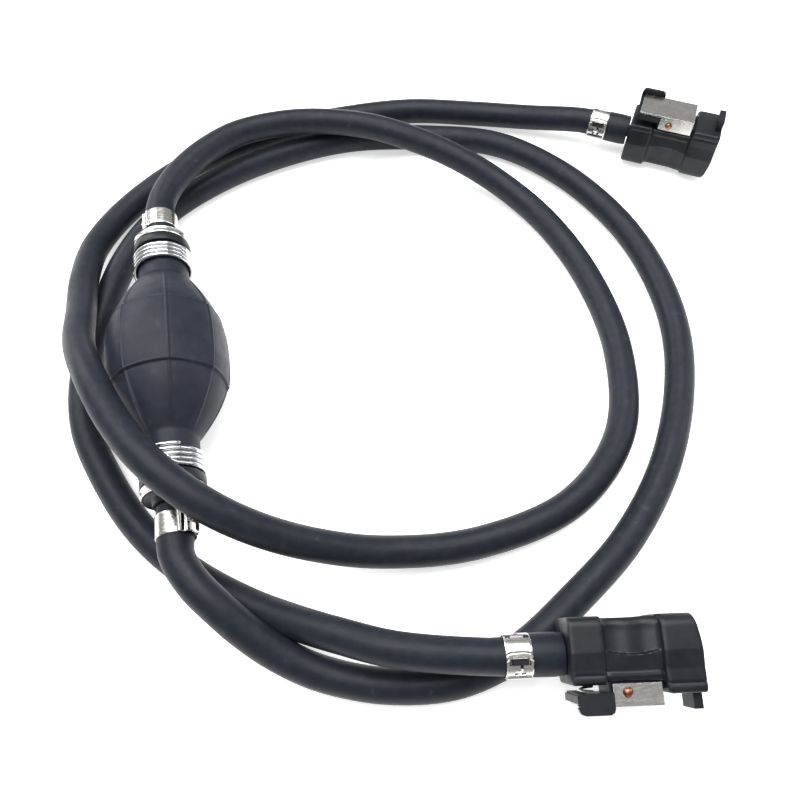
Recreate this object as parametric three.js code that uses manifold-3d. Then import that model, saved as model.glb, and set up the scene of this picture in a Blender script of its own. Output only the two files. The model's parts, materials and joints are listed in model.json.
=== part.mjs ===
// Siphon bulb pump: a ribbed rubber squeeze bulb with a one-way valve at each end,
// two loops of 8 x 13 mm rubber hose and a push-on quick connector on each hose end.
// Millimetres, +Z up.  The bulb lies along Y, its outlet end towards +Y.
import * as THREE from "three";
import { mergeVertices } from "three/addons/utils/BufferGeometryUtils.js";
import Module from "manifold-3d";

const wasm = await Module();
wasm.setup();

// ---------------------------------------------------------------- dimensions
const BULB_RADIUS = 26;
const AXIS_Z = BULB_RADIUS;
const NECK_RADIUS = 11.3;
const NECK_BORE = 8.1;
const NECK_END = 58;

const PANEL_HALF_WIDTH = 13;
const PANEL_HALF_LENGTH = 21;
const PANEL_GAP = 0.35;

const CLAMP_WIRE = 1.0;
const CLAMP_WIRE_RADIUS = 12.7;
const CLAMP_WIRE_PITCH = 2.25;
const CLAMP_WIRE_CENTRE = 52.6;
const CLAMP_WIRE_TAIL = 6;

const CHAMBER_END = 60;
const INLET_SEAT = 0.3 - CHAMBER_END;
const OUTLET_SEAT = 46.3;
const CAGE_FROM = -48.9;
const CAGE = { thick: 2, bore: 1.7, radius: 5.5, port: 1.1, portAt: 3.6 };
const DISC = { radius: 4.6, thick: 2, stem: 1.2, length: 10 };
const VALVE_SPRING_RADIUS = 2.6;

// Half-sections of the valve parts, [distance from the bulb's middle, radius].
const VALVE_BODY_PROFILE = [
  [42, 7.8], [58.4, 7.8], [58.4, 12.9], [62.4, 12.9], [62.4, 11.5], [66.5, 11.5],
  [66.5, 8.2], [69.6, 8.2], [69.6, 3.2], [73, 3.2], [73, 3.6], [76, 3.2],
  [79, 3.2], [79, 3.6], [82, 3.2], [85, 3.2], [85, 3.6], [88, 2.9],
  [88, 2.2], [CHAMBER_END, 2.2], [CHAMBER_END, 5.8], [42, 5.8],
];
const TRIM_PROFILE = [[62.8, 11.8], [62.8, 12.7], [66.3, 12.7], [66.3, 11.8]];
const SEAT_RING_PROFILE = [[43.4, 2.6], [43.4, 5.5], [46, 5.5], [46, 2.6]];

const HOSE_RADIUS = 6.6;
const HOSE_BORE = 4.4;
const HOSE_SIDES = 10;
const HOSE_BORE_SIDES = 6;
const HOSE_STEPS = 54;

const BAND_INNER = 7.1;
const BAND_OUTER = 7.8;
const BAND_WIDTH = 9.4;
const BAND_FROM_BULB_END = 8.5;
const BAND_FROM_CONNECTOR_END = 16.4;
const BAND_EAR = { half: 2.8, rise: 2.6 };
const BAND_EAR_LOOP = { half: 2.1, from: 0.1, to: 1.9 };

// Connectors: where the rear face's middle is, the way each points (degrees from +X and
// above the floor), which way its latch faces and how far it is rolled about its axis.
const OUTLET_CONNECTOR = { at: [252.4, 112.9, 13.4], yaw: -30.5, pitch: 0.8, latch: "up", roll: 8 };
const INLET_CONNECTOR = { at: [133.2, -151, 23.2], yaw: -8.5, pitch: 0, latch: "side", roll: -13 };
const HOSE_TO_HOUSING_GAP = 0.4;

// In a connector's own frame X runs forwards from its rear face and Z towards its latch.
const BACK = -12.3;
const COLLAR = { from: 0, to: 12, width: 24, low: BACK, high: 10.4, corner: 5 };
const WAIST = { from: 11.5, to: 33, width: 20.6, low: BACK, high: 9.5, corner: 5 };
const SKIRT = { from: 32.5, to: 46, width: 25, low: BACK, high: 14, corner: 7 };
const MOUTH = { from: 36, to: 47, width: 19.5, low: -9.4, high: 11, corner: 5 };
const FRONT_LIP = { from: 42.6, to: 46, half: 6, low: 12, high: 19.6 };
const PIN = { x: 19, z: 13, radius: 1.5, hole: 1.8, half: 10.6, head: 2.3, headFrom: 9.8 };
const PIN_RIB = { from: 14.5, to: 24, half: 7.3, low: 8, high: 15.6 };
const BARB_SEAT = { to: 8.4, radius: 5.2 };
const CHAMBER = { to: 30.8, radius: 4.4 };
const BALL_SEAT = { to: 32.5, radius: 2.6 };
const SOCKET = { from: 32, radius: 3.9 };
const SEAL_GROOVE = { from: 33, to: 35.2, radius: 5 };
const GUIDE_HOLE = { from: 25, z: 7.2, radius: 1.9 };
const PAD_SPRING = { x: 7, low: 7.5, pocket: 3.2, from: 8, to: 13, radius: 2.3 };
const SEAL = { x: 34.1, radius: 4.1, section: 0.75 };
const BALL = { x: 28.4, radius: 3.4 };
const BALL_SPRING = { from: 8.8, to: 24.4, radius: 2.8 };
const PLATE = { from: 3, to: 31, half: 9.5, sheet: 0.9, low: 16.6, high: 17.6 };
const CHEEK = { from: 14, low: 10.2, high: 17 };
const PAD = { from: 1.2, to: 13.7, half: 9.8, low: 13.6, high: 16.3 };
const THUMB_TAB = { outside: 12, low: 12.8, high: 20 };
const SPRING_WIRE = 0.4;

// Hose routes, bulb end first.  The last points of each lie on its connector's axis.
const OUTLET_ROUTE = [
  [0, 70, 26], [0, 80, 26], [0, 90, 26], [4.2, 102, 26.2], [13, 115, 26.2],
  [25.7, 127.8, 25.4], [43.5, 139.6, 23.4], [75, 144.2, 21.6], [109, 134.8, 21.5],
  [132.4, 121.8, 20], [155.7, 106.3, 15.5], [177.2, 86, 9.5], [192.8, 57.9, 7.3],
  [202, 19.7, 6.9], [202.1, -21.8, 6.9], [188.8, -62.8, 6.9], [158.8, -90.1, 7],
  [116.3, -100, 7.4], [78.2, -98.2, 11.5], [51.3, -93.4, 21], [29.6, -86.4, 32.5],
  [11.8, -75.9, 42], [-3.9, -60, 47.2], [-16.4, -39.9, 46.2], [-25.4, -18.9, 45],
  [-34, 6.4, 36.6], [-37, 32.6, 26.5], [-39, 59.6, 17.5], [-35.6, 86.6, 10.5],
  [-19.1, 113, 7.4], [10.3, 136.7, 6.9], [51.7, 153.9, 6.9], [96.1, 159.4, 6.9],
  [137.2, 158.9, 6.9], [175.1, 149.2, 7.2], [202.2, 138.4, 9.4],
];
const INLET_ROUTE = [
  [0, -70, 26], [0, -80, 26], [0, -90, 26], [5.5, -101.6, 25.4], [13.3, -111.5, 22.4],
  [22.3, -121.2, 17], [33.3, -130.3, 11.6], [47.2, -138.8, 7.7], [70.3, -147.4, 6.9],
  [96.2, -150.3, 6.9], [121.9, -143.9, 6.9], [147.3, -129.5, 6.9], [175.4, -110.2, 6.9],
  [200.3, -84.3, 6.9], [219.6, -52.9, 6.9], [232.2, -17.8, 6.9], [235, 17.9, 6.9],
  [228.6, 55.4, 6.9], [209.4, 94.5, 6.9], [181.2, 122.7, 6.9], [147.1, 134.6, 6.9],
  [99.2, 141.8, 6.9], [50.2, 133.3, 6.9], [13.1, 116.3, 6.9], [-8.2, 98.9, 6.9],
  [-23, 76.2, 6.9], [-33.8, 45.8, 6.9], [-41.4, 14.7, 6.9], [-41, -15.8, 6.9],
  [-31.5, -43.7, 6.9], [-18.1, -69, 6.9], [-0.6, -89.6, 7.1], [20.1, -106.5, 8.1],
  [38.8, -118.9, 13], [56.7, -129.4, 19], [75, -138.5, 23],
];
const ROUTE_TAIL = [26, 16, 8, 0];

// Half of the bulb's outer profile, [distance from its middle, radius].
const BULB_PROFILE = [
  [0, BULB_RADIUS], [10, 25.6], [18, 24.2], [25, 21.4], [32, 17.8], [38, 14], [42, 11.5],
  [44, NECK_RADIUS], [NECK_END, NECK_RADIUS],
];
const CAVITY_PROFILE = [
  [NECK_END, NECK_BORE], [40, NECK_BORE], [38, 10.5], [30, 15.6], [20, 20], [12, 22], [0, 22.8],
];

// ------------------------------------------------------------------- helpers
// [colour, roughness, metalness] of each material.
const FINISHES = {
  bulb_rubber: [0x35383c, 0.62, 0],
  hose_rubber: [0x2f3236, 0.5, 0],
  black_nylon: [0x3a3d41, 0.55, 0],
  valve_plastic: [0x44474b, 0.5, 0],
  seal_rubber: [0x1c1d1f, 0.45, 0],
  stainless: [0xdcdddd, 0.3, 1],
  zinc_wire: [0xe6e7e8, 0.25, 1],
  spring_steel: [0xc8cacc, 0.3, 1],
  steel_ball: [0xe2e3e4, 0.12, 1],
  copper_pin: [0xc98a72, 0.35, 1],
};

const group = new THREE.Group();
group.name = "siphon_bulb_pump";

function add(name, slot, geometry) {
  const [color, roughness, metalness] = FINISHES[slot];
  const material = new THREE.MeshStandardMaterial({ color, roughness, metalness });
  material.name = slot;
  const mesh = new THREE.Mesh(geometry, material);
  mesh.name = name;
  group.add(mesh);
}

function toSolid(geometry) {
  let plain = new THREE.BufferGeometry();
  plain.setAttribute("position", geometry.getAttribute("position").clone());
  if (geometry.index) plain.setIndex(geometry.index.clone());
  plain = mergeVertices(plain, 1e-4);
  const mesh = new wasm.Mesh({
    numProp: 3,
    vertProperties: new Float32Array(plain.getAttribute("position").array),
    triVerts: new Uint32Array(plain.index.array),
  });
  return new wasm.Manifold(mesh);
}

function toGeometry(solid) {
  const mesh = solid.getMesh();
  const geometry = new THREE.BufferGeometry();
  geometry.setAttribute("position", new THREE.BufferAttribute(new Float32Array(mesh.vertProperties), 3));
  geometry.setIndex(new THREE.BufferAttribute(new Uint32Array(mesh.triVerts), 1));
  geometry.computeVertexNormals();
  return geometry;
}

function union(parts) {
  return parts.reduce((whole, part) => whole.add(part));
}

function subtract(solid, cutters) {
  return cutters.reduce((rest, cutter) => rest.subtract(cutter), solid);
}

// A body turned about Y from closed [station, radius] points.
function turned(points, segments) {
  const closed = [...points, points[0]].map(([station, radius]) => new THREE.Vector2(radius, station));
  const area = closed.reduce((sum, p, i) => {
    const q = closed[(i + 1) % closed.length];
    return sum + p.x * q.y - q.x * p.y;
  }, 0);
  if (area < 0) closed.reverse();
  return new THREE.LatheGeometry(closed, segments);
}

function onBulbAxis(geometry) {
  return geometry.translate(0, 0, AXIS_Z);
}

function mirrored(points) {
  return points.map(([station, radius]) => [-station, radius]);
}

function box(x0, x1, y0, y1, z0, z1) {
  const geometry = new THREE.BoxGeometry(x1 - x0, y1 - y0, z1 - z0);
  return geometry.translate((x0 + x1) / 2, (y0 + y1) / 2, (z0 + z1) / 2);
}

// A rounded bar along X: width in Y, from zLow to zHigh.
function roundedBar(x0, x1, width, zLow, zHigh, radius) {
  const w = width / 2;
  const shape = new THREE.Shape();
  shape.moveTo(-w + radius, zLow);
  shape.lineTo(w - radius, zLow);
  shape.absarc(w - radius, zLow + radius, radius, -Math.PI / 2, 0);
  shape.absarc(w - radius, zHigh - radius, radius, 0, Math.PI / 2);
  shape.absarc(-w + radius, zHigh - radius, radius, Math.PI / 2, Math.PI);
  shape.absarc(-w + radius, zLow + radius, radius, Math.PI, 1.5 * Math.PI);
  const options = { depth: x1 - x0, bevelEnabled: false, curveSegments: 3 };
  const geometry = new THREE.ExtrudeGeometry(shape, options);
  const basis = new THREE.Matrix4().makeBasis(
    new THREE.Vector3(0, 1, 0), new THREE.Vector3(0, 0, 1), new THREE.Vector3(1, 0, 0),
  );
  return geometry.applyMatrix4(basis).translate(x0, 0, 0);
}

function rodX(x0, x1, radius, z, segments = 16) {
  const geometry = new THREE.CylinderGeometry(radius, radius, x1 - x0, segments);
  return geometry.rotateZ(Math.PI / 2).translate((x0 + x1) / 2, 0, z);
}

function rodY(y0, y1, radius, x, z, segments = 12) {
  const geometry = new THREE.CylinderGeometry(radius, radius, y1 - y0, segments);
  return geometry.translate(x, (y0 + y1) / 2, z);
}

function rodZ(z0, z1, radius, x, segments = 16) {
  const geometry = new THREE.CylinderGeometry(radius, radius, z1 - z0, segments);
  return geometry.rotateX(Math.PI / 2).translate(x, 0, (z0 + z1) / 2);
}

// A coil about Y, from station y0 to y1, with a straight tail on request.
class Coil extends THREE.Curve {
  constructor(radius, y0, y1, turns, tail = 0) {
    super();
    Object.assign(this, { radius, y0, y1, turns, tail });
    this.wound = 2 * Math.PI * radius * turns;
  }

  getPoint(t, target = new THREE.Vector3()) {
    const run = t * (this.wound + this.tail);
    const along = Math.min(run, this.wound);
    const beyond = run - along;
    const angle = along / this.radius;
    const x = this.radius * Math.cos(angle) - beyond * Math.sin(angle);
    const z = this.radius * Math.sin(angle) + beyond * Math.cos(angle);
    return target.set(x, this.y0 + (this.y1 - this.y0) * (along / this.wound), z);
  }
}

function ringPoints(sides, radius) {
  return Array.from({ length: sides }, (_, i) => {
    const angle = (i / sides) * 2 * Math.PI;
    return new THREE.Vector2(radius * Math.cos(angle), radius * Math.sin(angle));
  });
}

function coil(curve, wire, steps, sides) {
  const shape = new THREE.Shape(ringPoints(sides, wire));
  return new THREE.ExtrudeGeometry(shape, { steps, bevelEnabled: false, extrudePath: curve });
}

// -------------------------------------------------------------- squeeze bulb
const halfOuter = [...BULB_PROFILE].reverse();
const outerProfile = [...halfOuter, ...mirrored(BULB_PROFILE.slice(1))];
const innerProfile = [...mirrored(CAVITY_PROFILE), ...[...CAVITY_PROFILE].reverse().slice(1)];
const shell = toSolid(onBulbAxis(turned([...outerProfile, ...innerProfile], 28)));

function panelPrism(grow) {
  const geometry = new THREE.CylinderGeometry(1, 1, 2 * BULB_RADIUS, 24).rotateX(Math.PI / 2);
  geometry.scale(PANEL_HALF_WIDTH + grow, PANEL_HALF_LENGTH + grow, 1);
  return toSolid(geometry.translate(0, 0, AXIS_Z + BULB_RADIUS + 2));
}

add("squeeze_bulb", "bulb_rubber", toGeometry(shell.subtract(panelPrism(PANEL_GAP))));
add("bulb_thumb_panel", "bulb_rubber", toGeometry(shell.intersect(panelPrism(0))));

// ------------------------------------------- necks: wire clamps, valve bodies
const coilHalf = 2 * CLAMP_WIRE_PITCH;
for (const [end, side] of [["inlet", -1], ["outlet", 1]]) {
  const from = side * CLAMP_WIRE_CENTRE - coilHalf;
  const winding = new Coil(CLAMP_WIRE_RADIUS, from, from + 2 * coilHalf, 4, CLAMP_WIRE_TAIL);
  add(`${end}_wire_clamp`, "zinc_wire", onBulbAxis(coil(winding, CLAMP_WIRE, 60, 5)));

  const station = (points) => points.map(([s, r]) => [side * s, r]);
  add(`${end}_valve_body`, "black_nylon", onBulbAxis(turned(station(VALVE_BODY_PROFILE), 20)));
  add(`${end}_trim_ring`, "stainless", onBulbAxis(turned(station(TRIM_PROFILE), 24)));
}

// One-way valves: each disc opens towards +Y, the way the liquid flows.
function valveDisc(seat) {
  const { radius, thick, stem, length } = DISC;
  const face = seat + thick;
  const tip = seat + length;
  const disc = [[seat, 0], [seat, radius], [face, radius], [face, stem], [tip, stem], [tip, 0]];
  return onBulbAxis(turned(disc, 20));
}
add("inlet_valve_disc", "valve_plastic", valveDisc(INLET_SEAT));
add("outlet_valve_disc", "valve_plastic", valveDisc(OUTLET_SEAT));
const inletSpring = new Coil(VALVE_SPRING_RADIUS, INLET_SEAT + 2.8, CAGE_FROM - 0.6, 3);
add("inlet_valve_spring", "spring_steel", onBulbAxis(coil(inletSpring, SPRING_WIRE, 22, 4)));
const outletSpring = new Coil(VALVE_SPRING_RADIUS, OUTLET_SEAT + 2.8, CHAMBER_END - 0.8, 3);
add("outlet_valve_spring", "spring_steel", onBulbAxis(coil(outletSpring, SPRING_WIRE, 22, 4)));

// The cage is a washer with a hole for the disc's stem and four round ports.
const cageTo = CAGE_FROM + CAGE.thick;
const cageSection = [
  [CAGE_FROM, CAGE.bore], [CAGE_FROM, CAGE.radius], [cageTo, CAGE.radius], [cageTo, CAGE.bore],
];
const ports = [0, 1, 2, 3].map((i) => {
  const port = new THREE.CylinderGeometry(CAGE.port, CAGE.port, 3 * CAGE.thick, 10);
  port.translate(CAGE.portAt, CAGE_FROM + CAGE.thick / 2, 0);
  return toSolid(port.rotateY((i * Math.PI) / 2));
});
const cage = subtract(toSolid(turned(cageSection, 24)), ports);
add("inlet_spring_cage", "valve_plastic", onBulbAxis(toGeometry(cage)));
add("outlet_valve_seat", "valve_plastic", onBulbAxis(turned(SEAT_RING_PROFILE, 24)));

// ---------------------------------------------------------------- connectors
function connectorMatrix({ at, yaw, pitch, latch, roll }) {
  const y = THREE.MathUtils.degToRad(yaw);
  const p = THREE.MathUtils.degToRad(pitch);
  const forward = new THREE.Vector3(Math.cos(p) * Math.cos(y), Math.cos(p) * Math.sin(y), Math.sin(p));
  const worldUp = new THREE.Vector3(0, 0, 1);
  const sideways = forward.clone().cross(worldUp).normalize();
  const upright = sideways.clone().cross(forward).normalize();
  const latchAxis = latch === "up" ? upright : sideways;
  latchAxis.applyAxisAngle(forward, -THREE.MathUtils.degToRad(roll));
  const across = latchAxis.clone().cross(forward);
  return new THREE.Matrix4().makeBasis(forward, across, latchAxis).setPosition(...at);
}

function bar({ from, to, width, low, high, corner }) {
  return roundedBar(from, to, width, low, high, corner);
}

function connectorHousing() {
  const blocks = [
    bar(COLLAR),
    bar(WAIST),
    bar(SKIRT),
    box(PIN_RIB.from, PIN_RIB.to, -PIN_RIB.half, PIN_RIB.half, PIN_RIB.low, PIN_RIB.high),
    box(FRONT_LIP.from, FRONT_LIP.to, -FRONT_LIP.half, FRONT_LIP.half, FRONT_LIP.low, FRONT_LIP.high),
  ];
  const mouthFloor = MOUTH.from + 1;
  const cuts = [
    bar(MOUTH),
    rodX(-1, BARB_SEAT.to, BARB_SEAT.radius, 0),
    rodX(BARB_SEAT.to - 0.4, CHAMBER.to, CHAMBER.radius, 0),
    rodX(CHAMBER.to - 0.8, BALL_SEAT.to, BALL_SEAT.radius, 0),
    rodX(SOCKET.from, mouthFloor, SOCKET.radius, 0),
    rodX(SEAL_GROOVE.from, SEAL_GROOVE.to, SEAL_GROOVE.radius, 0),
    rodX(GUIDE_HOLE.from, mouthFloor, GUIDE_HOLE.radius, GUIDE_HOLE.z, 12),
    rodY(-9, 9, PIN.hole, PIN.x, PIN.z),
    rodZ(PAD_SPRING.low, COLLAR.high + 1, PAD_SPRING.pocket, PAD_SPRING.x),
  ];
  return toGeometry(subtract(union(blocks.map(toSolid)), cuts.map(toSolid)));
}

function latchPlate() {
  const { from, to, half, sheet, low, high } = PLATE;
  const folded = [
    box(from, to, -half, half, low, high),
    box(CHEEK.from, to, half - sheet, half, CHEEK.low, CHEEK.high),
    box(CHEEK.from, to, -half, sheet - half, CHEEK.low, CHEEK.high),
    box(to - sheet, to, -half, half, CHEEK.low, CHEEK.high),
  ];
  const pinHole = rodY(-half - 1, half + 1, PIN.hole, PIN.x, PIN.z);
  return toGeometry(union(folded.map(toSolid)).subtract(toSolid(pinHole)));
}

function thumbPad() {
  const { from, to, half, low, high } = PAD;
  const blocks = [
    box(from, to, -half, half + 1, low, high),
    box(from, to, half, THUMB_TAB.outside, THUMB_TAB.low, THUMB_TAB.high),
  ];
  return toGeometry(union(blocks.map(toSolid)));
}

function latchPin() {
  const blocks = [
    rodY(-PIN.half, PIN.half, PIN.radius, PIN.x, PIN.z),
    rodY(PIN.headFrom, PIN.half, PIN.head, PIN.x, PIN.z),
    rodY(-PIN.half, -PIN.headFrom, PIN.head, PIN.x, PIN.z),
  ];
  return toGeometry(union(blocks.map(toSolid)));
}

function alongX(coilCurve, steps) {
  return coil(coilCurve, SPRING_WIRE, steps, 4).rotateZ(-Math.PI / 2);
}

function padSpring() {
  const winding = new Coil(PAD_SPRING.radius, PAD_SPRING.from, PAD_SPRING.to, 3);
  return coil(winding, SPRING_WIRE, 22, 4).rotateX(Math.PI / 2).translate(PAD_SPRING.x, 0, 0);
}

function turnedX(points, segments) {
  return turned(points, segments).rotateZ(-Math.PI / 2);
}

const fuelBarb = [
  [-20, 2.9], [-17, 3.6], [-17, 3.2], [-14, 3.2], [-11, 3.6], [-11, 3.2], [-8, 3.2],
  [-5, 3.6], [-5, 3.2], [0.3, 3.2], [0.3, 4.9], [8, 4.9], [8, 2.2], [-20, 2.2],
];
const sealRing = Array.from({ length: 8 }, (_, i) => {
  const angle = (i / 8) * 2 * Math.PI;
  return [SEAL.x + SEAL.section * Math.cos(angle), SEAL.radius + SEAL.section * Math.sin(angle)];
});

for (const [end, placement] of [["inlet", INLET_CONNECTOR], ["outlet", OUTLET_CONNECTOR]]) {
  const matrix = connectorMatrix(placement);
  const put = (name, slot, geometry) => add(`${end}_${name}`, slot, geometry.applyMatrix4(matrix));
  const ball = new THREE.SphereGeometry(BALL.radius, 14, 9).translate(BALL.x, 0, 0);
  const ballSpring = new Coil(BALL_SPRING.radius, BALL_SPRING.from, BALL_SPRING.to, 4);
  put("connector_housing", "black_nylon", connectorHousing());
  put("connector_barb", "black_nylon", turnedX(fuelBarb, 16));
  put("connector_seal", "seal_rubber", turnedX(sealRing, 18));
  put("connector_ball", "steel_ball", ball);
  put("connector_spring", "spring_steel", alongX(ballSpring, 28));
  put("latch_plate", "stainless", latchPlate());
  put("latch_thumb_pad", "black_nylon", thumbPad());
  put("latch_pin", "copper_pin", latchPin());
  put("latch_spring", "spring_steel", padSpring());
}

// ------------------------------------------------------ hoses and band clamps
function hosePath(route, placement) {
  const matrix = connectorMatrix(placement);
  const points = route.map((p) => new THREE.Vector3(...p));
  for (const back of ROUTE_TAIL) {
    const x = -back - HOSE_TO_HOUSING_GAP;
    points.push(new THREE.Vector3(x, 0, 0).applyMatrix4(matrix));
  }
  const path = new THREE.CatmullRomCurve3(points, false, "centripetal");
  path.arcLengthDivisions = 1200;
  return path;
}

function hose(path) {
  const shape = new THREE.Shape(ringPoints(HOSE_SIDES, HOSE_RADIUS));
  shape.holes.push(new THREE.Path(ringPoints(HOSE_BORE_SIDES, HOSE_BORE)));
  return new THREE.ExtrudeGeometry(shape, { steps: HOSE_STEPS, bevelEnabled: false, extrudePath: path });
}

function bandClamp() {
  const half = BAND_WIDTH / 2;
  const ring = [[-half, BAND_INNER], [-half, BAND_OUTER], [half, BAND_OUTER], [half, BAND_INNER]];
  const top = BAND_OUTER + BAND_EAR.rise;
  const ear = box(-BAND_EAR.half, BAND_EAR.half, -half, half, BAND_INNER + 0.2, top);
  const { half: loopHalf, from, to } = BAND_EAR_LOOP;
  const loop = box(-loopHalf, loopHalf, -half - 1, half + 1, BAND_OUTER + from, BAND_OUTER + to);
  return toSolid(turned(ring, 24)).add(toSolid(ear)).subtract(toSolid(loop));
}

// The ear of each band faces earwards; the band is square to the hose there.
function placeBand(name, path, distance, earwards) {
  const at = path.getPointAt(distance / path.getLength());
  const along = path.getTangentAt(distance / path.getLength());
  const ear = new THREE.Vector3(...earwards);
  ear.addScaledVector(along, -ear.dot(along)).normalize();
  const across = along.clone().cross(ear);
  const matrix = new THREE.Matrix4().makeBasis(across, along, ear).setPosition(at);
  add(name, "stainless", toGeometry(bandClamp()).applyMatrix4(matrix));
}

const runs = [
  ["outlet", OUTLET_ROUTE, OUTLET_CONNECTOR, [-1, 0, 0.15], [-0.15, -0.35, 1]],
  ["inlet", INLET_ROUTE, INLET_CONNECTOR, [1, 0, 0.5], [0, -1, 0.7]],
];
for (const [end, route, placement, bulbEar, connectorEar] of runs) {
  const path = hosePath(route, placement);
  add(`${end}_hose`, "hose_rubber", hose(path));
  placeBand(`${end}_bulb_band`, path, BAND_FROM_BULB_END, bulbEar);
  placeBand(`${end}_connector_band`, path, path.getLength() - BAND_FROM_CONNECTOR_END, connectorEar);
}

export default group;
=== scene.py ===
"""Looks of the siphon bulb pump: rubber bulb, two looped hoses, clamps and quick connectors."""

import json
import math

import bmesh
import bpy
from mathutils import Matrix, Vector


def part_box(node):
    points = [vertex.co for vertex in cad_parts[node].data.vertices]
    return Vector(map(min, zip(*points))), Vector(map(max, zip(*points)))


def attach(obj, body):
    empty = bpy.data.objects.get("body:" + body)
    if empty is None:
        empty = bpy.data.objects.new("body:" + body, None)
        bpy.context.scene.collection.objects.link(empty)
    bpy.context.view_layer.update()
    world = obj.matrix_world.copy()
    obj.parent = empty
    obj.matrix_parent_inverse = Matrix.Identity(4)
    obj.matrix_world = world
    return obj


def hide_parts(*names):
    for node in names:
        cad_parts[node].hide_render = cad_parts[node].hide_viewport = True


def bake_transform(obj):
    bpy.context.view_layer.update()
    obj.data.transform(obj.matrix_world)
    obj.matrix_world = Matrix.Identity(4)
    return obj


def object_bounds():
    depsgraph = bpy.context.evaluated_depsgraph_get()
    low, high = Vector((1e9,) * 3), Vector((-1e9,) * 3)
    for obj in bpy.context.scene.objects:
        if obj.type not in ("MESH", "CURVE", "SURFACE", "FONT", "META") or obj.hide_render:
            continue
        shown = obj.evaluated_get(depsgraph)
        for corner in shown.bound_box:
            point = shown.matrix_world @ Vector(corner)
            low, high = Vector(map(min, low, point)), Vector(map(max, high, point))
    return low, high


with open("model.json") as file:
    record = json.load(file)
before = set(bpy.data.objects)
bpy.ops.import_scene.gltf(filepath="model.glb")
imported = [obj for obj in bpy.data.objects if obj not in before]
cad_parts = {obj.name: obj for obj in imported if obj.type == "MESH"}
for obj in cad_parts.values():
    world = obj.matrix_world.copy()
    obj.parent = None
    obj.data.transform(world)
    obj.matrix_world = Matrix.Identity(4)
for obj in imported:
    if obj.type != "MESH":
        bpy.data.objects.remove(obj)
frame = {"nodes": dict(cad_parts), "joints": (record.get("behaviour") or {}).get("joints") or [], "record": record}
CAD_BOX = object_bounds()
NODES = frame["nodes"]
JOINTS = {joint["name"]: joint for joint in frame["joints"]}
MM = 0.001
ROOT = "bulb_and_hoses"
ENDS = ("inlet", "outlet")

# ---------------------------------------------------------------- dimensions
CAMERA_AT = Vector((0.0651, -0.1977, 0.3058))
CAMERA_TARGET = Vector((0.0973, -0.0283, 0.0070))
CAMERA_LENS = 34.56
LIGHT_TARGET = (0.09, 0, 0)
FLOOR_HALF_SIZE = 2.5
FLOOR_SQUARES = 8

BULB_LOW, BULB_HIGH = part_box("squeeze_bulb")
BULB_RADIUS = (BULB_HIGH.x - BULB_LOW.x) / 2
AXIS_Z = BULB_LOW.z + BULB_RADIUS

# Half of the bulb's outline, millimetres from its middle and radius.
BULB_OUTLINE = (
    (0, 25.5), (7, 25.35), (12, 24.9), (16, 24.2), (20, 23.1), (25, 21.1), (30, 18.6),
    (35, 15.6), (38, 13.4), (39.4, 12.3), (40.3, 11.7), (41, 11.4), (43, 11.3), (58, 11.3),
)
# The hollow inside: distance from the middle and radius.
BULB_CAVITY = (
    (0, 22.8), (6, 22.6), (12, 22), (20, 20), (30, 15.6), (38, 10.5), (40, 8.1), (57.6, 8.1),
    (58, 8.3),
)
BULB_RIBS = 8
BULB_TURN = math.radians(-14)
# The thick belt round the bulb's middle: where it stops and how far it stands out.
BELT_EDGE = 16.4
BELT_RISE = 0.5
RIB_HEIGHT = 0.3

WIRE_RADIUS = 1.0 * MM
WIRE_SIDES = 12
WIRE_STEP = 0.8 * MM
WIRE_COIL_RADIUS = 12.65
WIRE_PITCH = 2.2
WIRE_TURNS = 4
WIRE_STARTS_DEG = {"inlet": 62, "outlet": 188}
# The wire's bent end: angle in radians, distance outwards and distance back over the turns.
WIRE_END = ((0.17, 0.5, 0.1), (0.3, 1.6, 0.9), (0.36, 2.1, 3.0), (0.37, 2.15, 7.4))
INLET_WIRE_END_SHARE = 0.4

HOSE_RADIUS = 6.6 * MM
BULB_END_FLARE = 0.6 * MM
CONNECTOR_END_FLARE = 1.1 * MM
CUT_EDGE_ROUND = 0.35 * MM
BAND_NIP = 0.3 * MM
HOSE_MOUTH_SHARE = 0.57
HOSE_SIDES = 36
HOSE_STEP = 3.2 * MM
FINE_STEP = 0.5 * MM
CURVE_STEPS = 24

# Band clamps, millimetres: distances from the hose ends, then the strip itself.
BAND_FROM_BULB_END = 8.5
BAND_FROM_CONNECTOR_END = 16.4
BAND_HALF_WIDTH = 4.7
BAND_SIDES = 216
BAND_HALF_COLUMNS = (0.5, 1.0, 1.5, 1.9, 2.3, 3.0, 3.8, 4.2, 4.5, BAND_HALF_WIDTH)
STRIP_FACE = 0.5
STRIP_LAP = 0.35
STRIP_EDGE = 0.42
STRIP_LIP = 0.46
STRIP_SEAT = 0.05
EAR_OVERHANG = 1.6
WINDOW_DEPTH = 0.75

# The latch pin, from the middle of the connector's rear face: forwards and towards the latch.
PIN_X = 19 * MM
PIN_Z = 13 * MM
# The latch plate's half width and its sheet's thickness, millimetres.
PLATE_HALF = 9.45
SHEET = 0.9
BEVEL_ANGLE = math.radians(32)
# How far behind the connector the last points of a route lie, and the gap there, millimetres.
TAIL = (26, 16, 8, 0)
HOSE_TO_HOUSING_GAP = 0.4

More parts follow.
